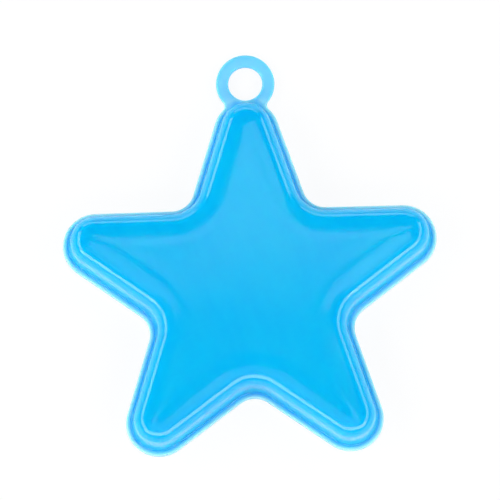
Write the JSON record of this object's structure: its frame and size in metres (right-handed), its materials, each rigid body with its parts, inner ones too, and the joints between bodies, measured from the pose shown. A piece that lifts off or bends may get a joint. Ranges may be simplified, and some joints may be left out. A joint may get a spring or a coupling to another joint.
{
  "type": "balloon weight",
  "caption": "Star-shaped balloon weight: a moulded shell with drafted walls, a rim and a hanging ring, closed by an inset back plate over a sealed ballast slug.",
  "frame": {"origin": "centre of the star on the plane of the rim, which the weight rests on", "axes": "+Z out of the closed face, +Y from the star's centre to the hanging ring"},
  "size_m": [0.0614, 0.0665, 0.008],
  "materials": {
    "blue_plastic": "gloss",
    "mineral": "matte"
  },
  "bodies": {
    "root": {"front_shell": "blue_plastic", "back_plate": "blue_plastic", "ballast": "mineral"}
  },
  "joints": []
}
